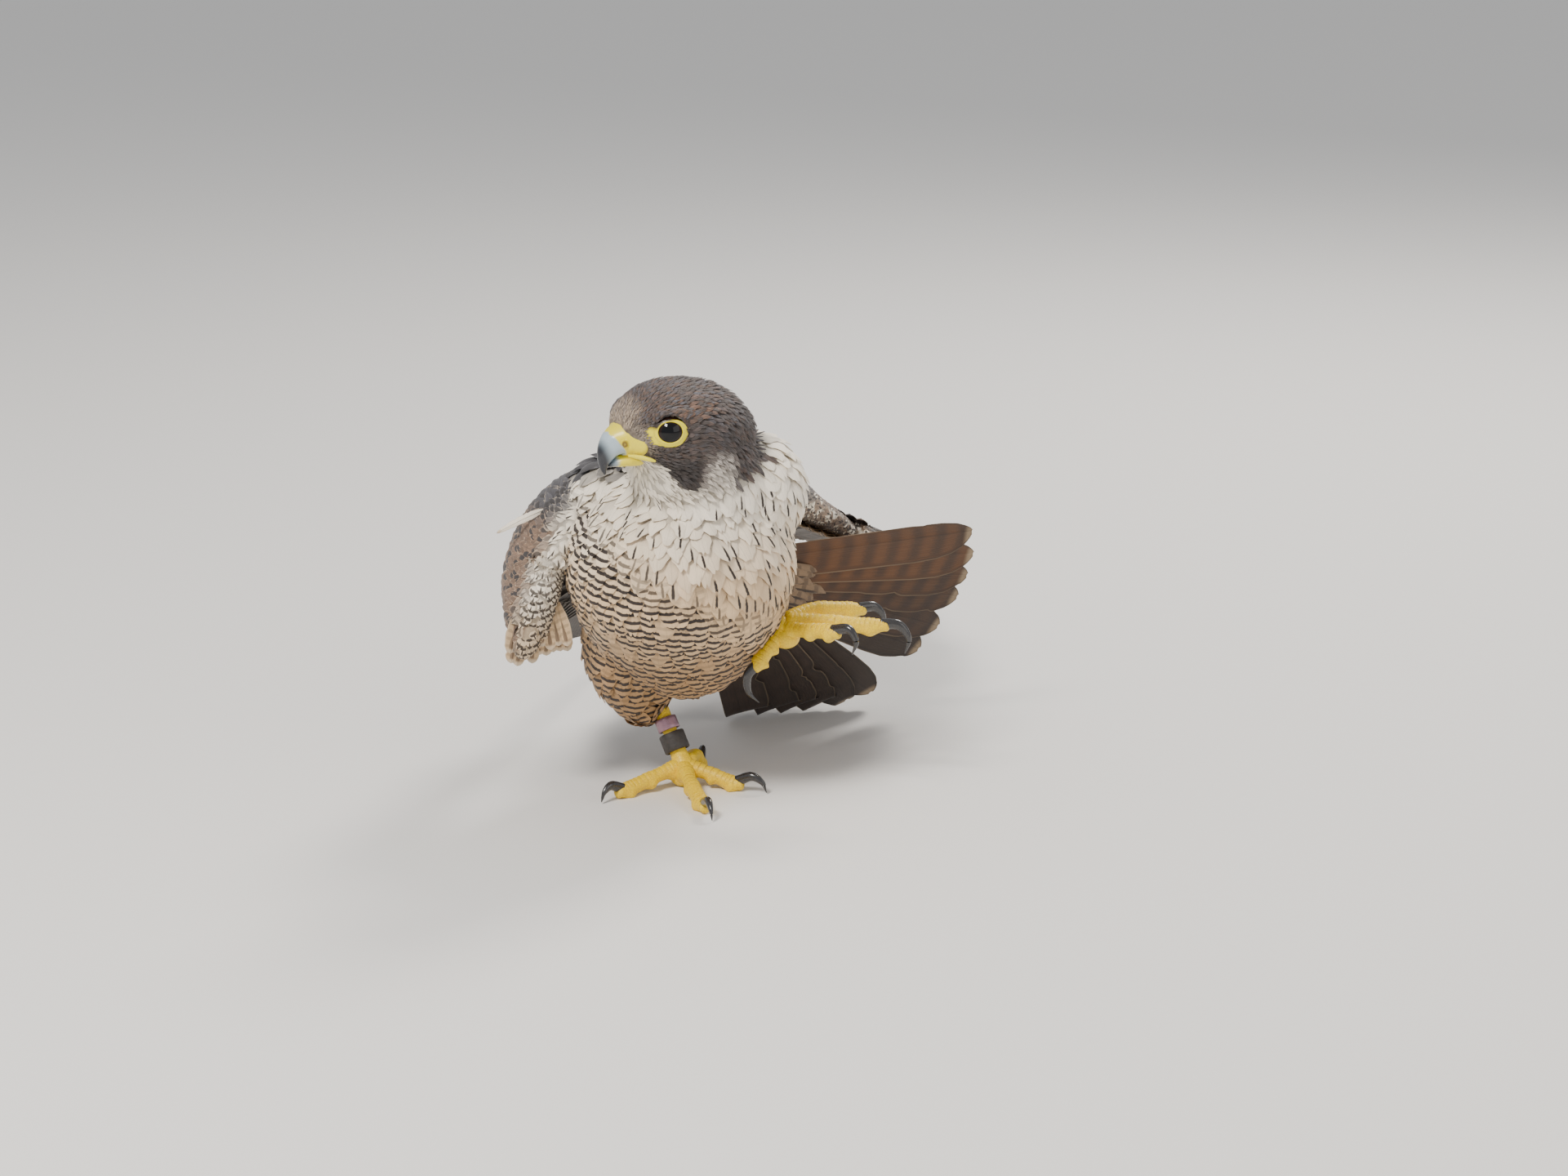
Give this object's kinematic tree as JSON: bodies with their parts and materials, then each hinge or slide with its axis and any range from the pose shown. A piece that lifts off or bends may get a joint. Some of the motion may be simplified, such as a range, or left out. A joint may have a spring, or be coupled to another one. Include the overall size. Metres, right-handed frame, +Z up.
{
  "type": "peregrine falcon model",
  "caption": "Still life-size peregrine falcon balancing on one foot, wings loosely open, tail fanned, the other foot lifted.",
  "frame": {"origin": "on the floor under the middle pad of the standing right foot", "axes": "+Z up, the bird faces -Y, its left side is towards +X"},
  "size_m": [0.264, 0.5134, 0.2401],
  "materials": {
    "bill": "blue-grey horn, yellow cere",
    "claw": "polished black horn",
    "eye": "wet, nearly black",
    "foot": "yellow scaled skin",
    "leather": "black leather",
    "plumage_dark": "slate-black hood",
    "plumage_pale": "barred cream and buff body feathers",
    "plumage_tail": "brown tail feathers with dark bars",
    "plumage_wing": "brown-grey flight feathers and coverts",
    "ring": "plain pinkish metal"
  },
  "bodies": {
    "root": {"anklet_left": "leather", "anklet_right": "leather", "bill_lower": "bill", "bill_upper": "bill", "claw_left_1": "claw", "claw_left_2": "claw", "claw_left_3": "claw", "claw_left_4": "claw", "claw_right_1": "claw", "claw_right_2": "claw", "claw_right_3": "claw", "claw_right_4": "claw", "eye_left": "eye", "eye_right": "eye", "foot_left": "foot", "foot_right": "foot", "head": "plumage_dark", "leg_ring": "ring", "neck": "plumage_pale", "tail": "plumage_tail", "thigh_left": "plumage_pale", "thigh_right": "plumage_pale", "torso": "plumage_pale", "wing_left": "plumage_wing", "wing_right": "plumage_wing"}
  },
  "joints": []
}
